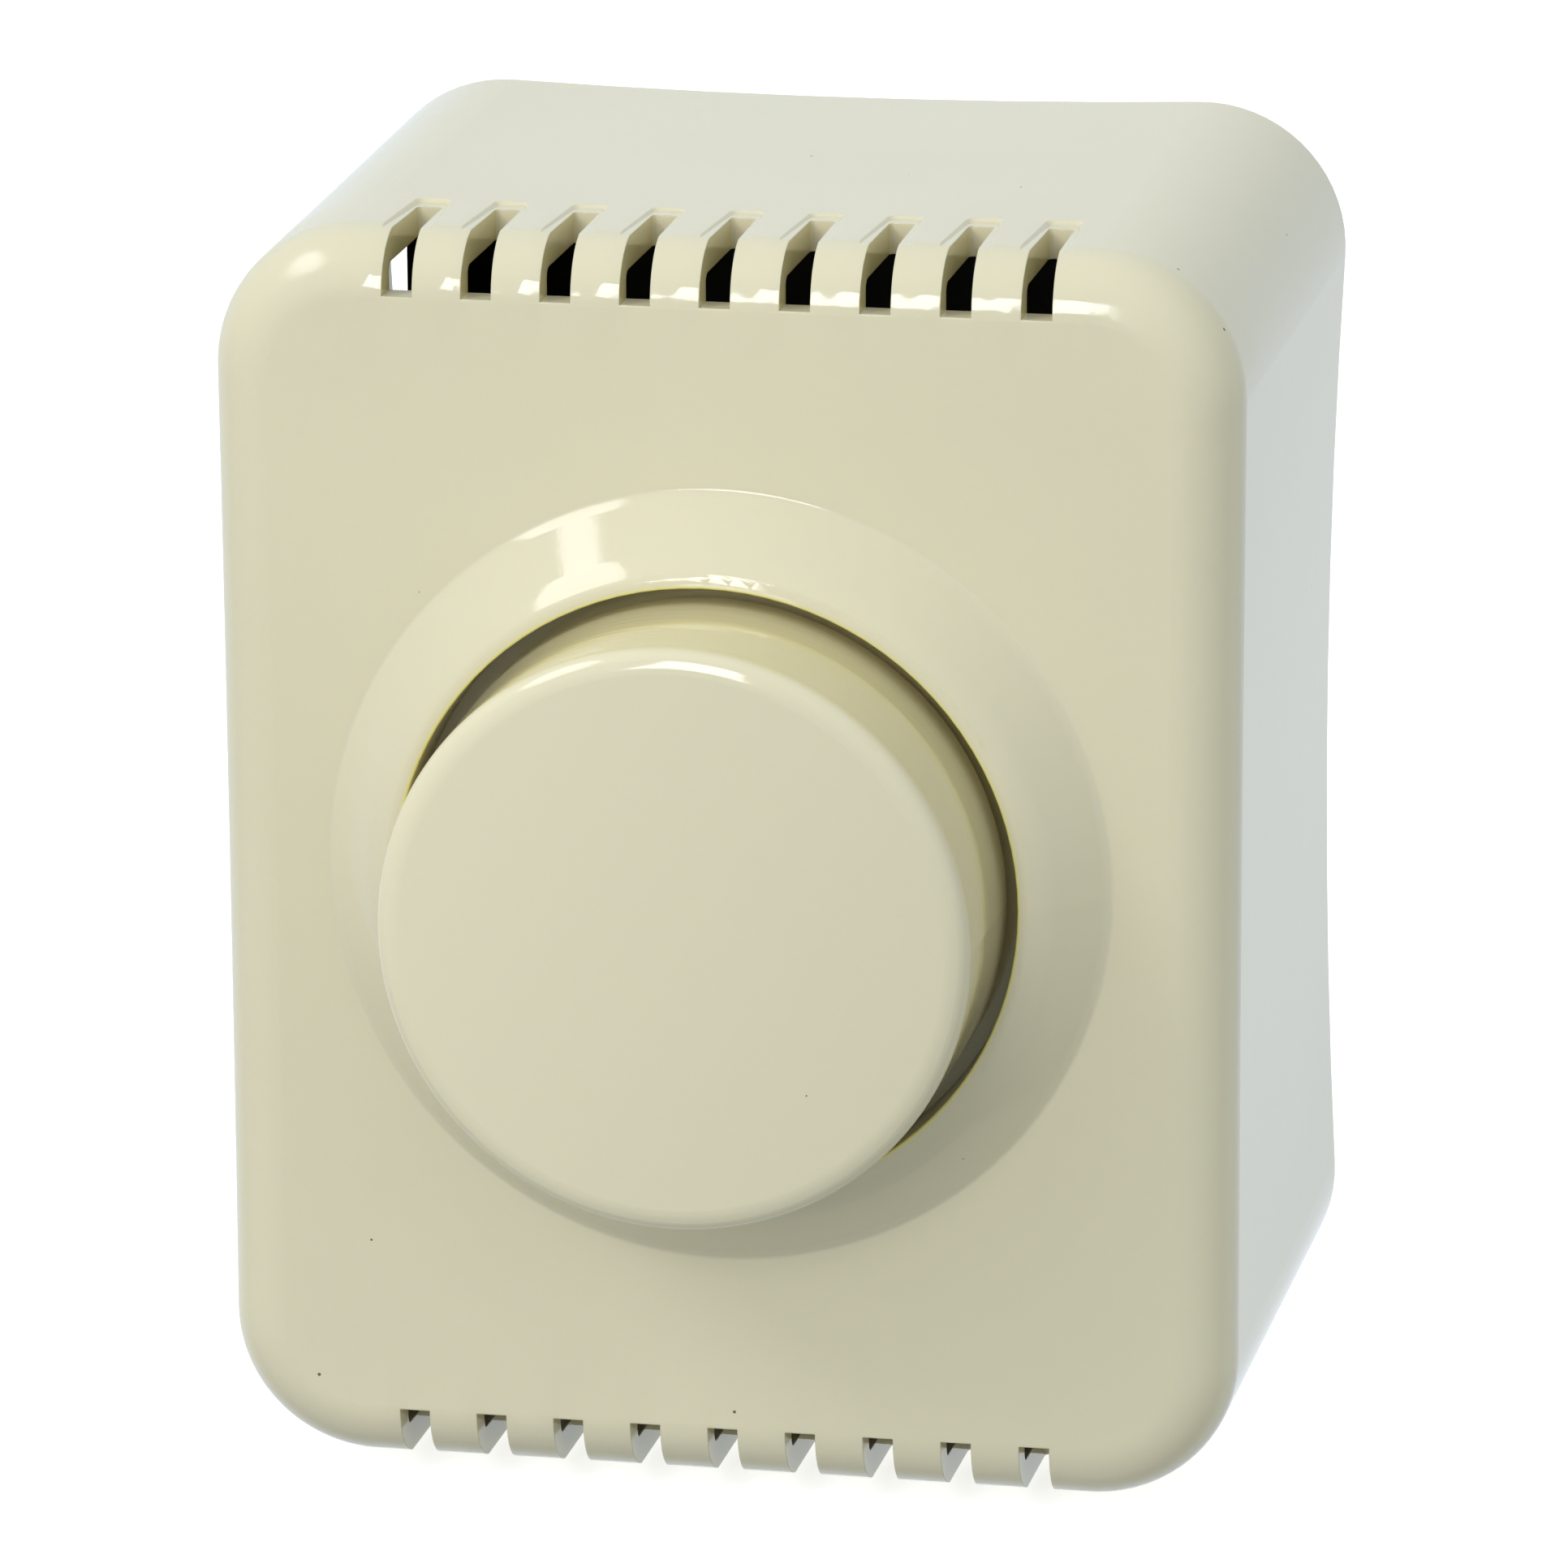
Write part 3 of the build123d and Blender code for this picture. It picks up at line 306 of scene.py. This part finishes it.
def plastic(name, colour, roughness, grain_scale=1800.0, grain=0.25):
    """Technical moulded plastic: uneven tone, spark-eroded grain."""
    material, tree, shader = new_material(name)
    tone = remap(tree, noise(tree, 160.0, 4.0), 0.0, 1.0, 0.3, 0.7)
    uneven = mix_colour(tree, tone, scaled(colour, 0.85), scaled(colour, 1.15))
    gloss = remap(tree, noise(tree, 500.0, 3.0), roughness * 0.85, roughness * 1.15)
    link(tree, uneven, shader.inputs["Base Color"])
    link(tree, gloss, shader.inputs["Roughness"])
    link(tree, bump(tree, noise(tree, grain_scale, 3.0), grain, 0.05 * MM), shader.inputs["Normal"])
    return material


def metal(name, colour, roughness, brush=(1.0, 1.0, 1.0), brush_scale=1500.0):
    """Plated or rolled metal: fine brushing along one axis, slight tarnish in the low spots."""
    material, tree, shader = new_material(name)
    mapping = tree.nodes.new("ShaderNodeMapping")
    mapping.inputs["Scale"].default_value = brush
    link(tree, object_coordinates(tree), mapping.inputs["Vector"])
    lines = tree.nodes.new("ShaderNodeTexNoise")
    lines.inputs["Scale"].default_value = brush_scale
    lines.inputs["Detail"].default_value = 3.0
    link(tree, mapping.outputs["Vector"], lines.inputs["Vector"])
    tarnish = remap(tree, noise(tree, 220.0, 4.0), 0.0, 1.0, 0.35, 0.75)
    gloss = remap(tree, lines.outputs["Fac"], roughness * 0.8, roughness * 1.4)
    link(tree, mix_colour(tree, tarnish, colour, scaled(colour, 0.72)), shader.inputs["Base Color"])
    link(tree, gloss, shader.inputs["Roughness"])
    link(tree, bump(tree, lines.outputs["Fac"], 0.25, 0.02 * MM), shader.inputs["Normal"])
    shader.inputs["Metallic"].default_value = 1.0
    return material


def board_material(name):
    """Brown phenolic board with faint paper fibre."""
    material, tree, shader = new_material(name)
    fibre = remap(tree, noise(tree, 900.0, 6.0, 0.7), 0.0, 1.0, 0.3, 0.7)
    colour = mix_colour(tree, fibre, (0.17, 0.10, 0.035), (0.27, 0.17, 0.07))
    link(tree, colour, shader.inputs["Base Color"])
    link(tree, remap(tree, noise(tree, 300.0), 0.35, 0.5), shader.inputs["Roughness"])
    link(tree, bump(tree, fibre, 0.2, 0.03 * MM), shader.inputs["Normal"])
    return material


def glass_material(name):
    """Clear glass, slightly uneven in tint and gloss."""
    material, tree, shader = new_material(name)
    link(tree, remap(tree, noise(tree, 300.0), 0.0, 0.06), shader.inputs["Roughness"])
    clouds = remap(tree, noise(tree, 120.0), 0.0, 1.0)
    colour = mix_colour(tree, clouds, (0.93, 0.97, 0.95), (0.97, 0.98, 0.97))
    link(tree, colour, shader.inputs["Base Color"])
    shader.inputs["Transmission Weight"].default_value = 1.0
    shader.inputs["IOR"].default_value = 1.5
    return material


slot_materials = {
    "cover_plastic": cream_plastic("cream_cover", True),
    "knob_plastic": cream_plastic("cream_knob", False),
    "base_plastic": plastic("black_base", (0.012, 0.012, 0.012), 0.45),
    "switch_plastic": plastic("dark_switch", (0.02, 0.02, 0.022), 0.4),
    "moving_plastic": plastic("natural_acetal", (0.62, 0.62, 0.57), 0.35),
    "terminal_plastic": plastic("grey_terminal", (0.05, 0.05, 0.055), 0.4),
    "board": board_material("phenolic_board"),
    "wafer": board_material("phenolic_wafer"),
    "carbon": plastic("carbon_film", (0.015, 0.015, 0.015), 0.3),
    "nickel_plate": metal("nickel_plate", (0.66, 0.62, 0.55), 0.22, (1.0, 8.0, 1.0)),
    "spring_steel": metal("spring_steel", (0.55, 0.55, 0.56), 0.25, (8.0, 1.0, 1.0)),
    "screw_steel": metal("zinc_plate", (0.63, 0.64, 0.66), 0.3),
    "contact_brass": metal("rolled_brass", (0.76, 0.56, 0.25), 0.28, (1.0, 6.0, 1.0)),
    "enamel_copper": metal("enamelled_copper", (0.72, 0.28, 0.12), 0.2, (6.0, 1.0, 1.0)),
    "ferrite": plastic("ferrite", (0.04, 0.04, 0.045), 0.5, 900.0, 0.4),
    "suppression_case": plastic("yellow_case", (0.72, 0.50, 0.04), 0.3),
    "timing_case": plastic("blue_case", (0.03, 0.09, 0.32), 0.25),
    "trimmer_plastic": plastic("trimmer_case", (0.04, 0.13, 0.38), 0.35),
    "trimmer_dial": plastic("trimmer_dial", (0.72, 0.72, 0.68), 0.4),
    "epoxy_black": plastic("moulded_epoxy", (0.018, 0.018, 0.018), 0.5, 1200.0, 0.35),
    "heatsink_black": metal("black_anodising", (0.03, 0.03, 0.032), 0.4, (1.0, 10.0, 1.0)),
    "resistor_body": plastic("resistor_lacquer", (0.52, 0.38, 0.21), 0.35),
    "diac_body": plastic("diac_lacquer", (0.04, 0.08, 0.34), 0.2),
    "tinned_lead": metal("tinned_wire", (0.72, 0.72, 0.70), 0.3),
    "fuse_glass": glass_material("fuse_glass"),
}

for part in frame["record"]["subparts"]:
    for slot in nodes[part["node"]].material_slots:
        slot.material = slot_materials[part["material_slot"]]

# ---- stage ----
FLOOR_REACH = 6.0
floor_height = cad_box[0].z
floor_corners = ((-1, -1), (1, -1), (1, 1), (-1, 1))
floor_mesh = bpy.data.meshes.new("floor")
floor_mesh.from_pydata(
    [(FLOOR_REACH * x, FLOOR_REACH * y, floor_height) for x, y in floor_corners],
    [],
    [(0, 1, 2, 3)],
)
floor = bpy.data.objects.new("floor", floor_mesh)
bpy.context.scene.collection.objects.link(floor)
floor_material, _, floor_shader = new_material("pale_floor")
floor_shader.inputs["Base Color"].default_value = (0.80, 0.80, 0.80, 1.0)
floor_shader.inputs["Roughness"].default_value = 0.9
floor_shader.inputs["Specular IOR Level"].default_value = 0.0
floor_shader.inputs["Emission Color"].default_value = (1.0, 1.0, 1.0, 1.0)
floor_shader.inputs["Emission Strength"].default_value = 0.7
floor_mesh.materials.append(floor_material)
# The studio around the object lights it, so the floor is only looked at.
floor.visible_diffuse = False
floor.visible_glossy = False
floor.visible_transmission = False


# ---- light ----
def softbox(name, shape, direction, top, distance, width, height, radiance):
    """Flat light that shines on the knob from a direction, its height running towards top."""
    data = bpy.data.lights.new(name, "AREA")
    data.shape = shape
    data.size = width
    data.size_y = height
    data.energy = radiance * math.pi * width * height
    light = bpy.data.objects.new(name, data)
    away = Vector(direction).normalized()
    upright = Vector(top) - away * away.dot(Vector(top))
    upright.normalize()
    axes = Matrix([upright.cross(away), upright, away]).transposed()
    light.rotation_mode = "QUATERNION"
    light.rotation_quaternion = axes.to_quaternion()
    light.location = knob_centre + away * distance
    bpy.context.scene.collection.objects.link(light)


knob_low, knob_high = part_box("knob")
knob_centre = (knob_low + knob_high) / 2
softbox("key", "ELLIPSE", (-0.593, -0.362, 0.719), (-0.133, 0.932, 0.337), 1.0, 0.3375, 0.67, 4.0)
softbox("front_fill", "RECTANGLE", (-0.137, -0.94, 0.317), (0.19, 0.0, 1.0), 1.1, 0.22, 0.42, 10.5)

world = bpy.data.worlds.new("studio")
bpy.context.scene.world = world
world.use_nodes = True
studio = world.node_tree
background = studio.nodes["Background"]
view = studio.nodes.new("ShaderNodeTexCoord").outputs["Generated"]
view_x, view_y, view_z = axes_of(studio, view)

# In front of the object: bright above, dimmer low on the right, and two soft lobes.
tilt = math_node(studio, "SUBTRACT", view_z, multiply(studio, view_x, 0.2))
right_side = math_node(studio, "MAXIMUM", view_x, 0.0)
below = math_node(studio, "MINIMUM", view_z, 0.0)
dimming = multiply(studio, multiply(studio, right_side, below), 0.64)
around = math_node(studio, "ADD", remap(studio, tilt, 0.30, 0.66, -1.0, 1.0), dimming)
frontal = math_node(studio, "MAXIMUM", multiply(studio, view_y, -1.0), 0.0)
front_lobe = multiply(studio, math_node(studio, "POWER", frontal, 3.0), 0.10)
right_front = studio.nodes.new("ShaderNodeVectorMath")
right_front.operation = "DOT_PRODUCT"
right_front.inputs[1].default_value = Vector((0.75, -0.66, 0.12)).normalized()
link(studio, view, right_front.inputs[0])
facing = math_node(studio, "MAXIMUM", right_front.outputs["Value"], 0.0)
side_lobe = multiply(studio, math_node(studio, "POWER", facing, 4.0), 0.31)
front = math_node(studio, "ADD", math_node(studio, "ADD", around, front_lobe), side_lobe)

# Behind it: a little dimmer overhead and on the right.
backdrop = remap(studio, tilt, 1.0, 0.80, -0.5, 0.5)
backdrop = math_node(studio, "SUBTRACT", backdrop, multiply(studio, right_side, 0.24))
behind = remap(studio, view_y, 0.0, 1.0, 0.1, 0.5)
strength = studio.nodes.new("ShaderNodeMix")
link(studio, behind, strength.inputs["Factor"])
link(studio, front, strength.inputs["A"])
link(studio, backdrop, strength.inputs["B"])
link(studio, strength.outputs["Result"], background.inputs["Strength"])
tint = mix_colour(studio, behind, (0.945, 1.005, 1.035), (0.93, 1.0, 1.06))
link(studio, tint, background.inputs["Color"])

# ---- camera ----
camera_data = bpy.data.cameras.new("camera")
camera_data.sensor_width = 36.0
camera_data.lens = 206.6
camera_data.clip_end = 20.0
camera = bpy.data.objects.new("camera", camera_data)
bpy.context.scene.collection.objects.link(camera)
camera_place = Vector((109.0, -573.7, 153.9)) * MM
camera_aim = Vector((4.2, -46.0, 6.3)) * MM
camera_roll = math.radians(-0.3)
away = (camera_place - camera_aim).normalized()
camera.rotation_mode = "QUATERNION"
level = away.to_track_quat("Z", "Y").to_matrix().to_4x4()
camera.rotation_quaternion = (Matrix.Rotation(camera_roll, 4, away) @ level).to_quaternion()
camera.location = camera_place
bpy.context.scene.camera = camera
bpy.context.scene.view_settings.view_transform = "Standard"
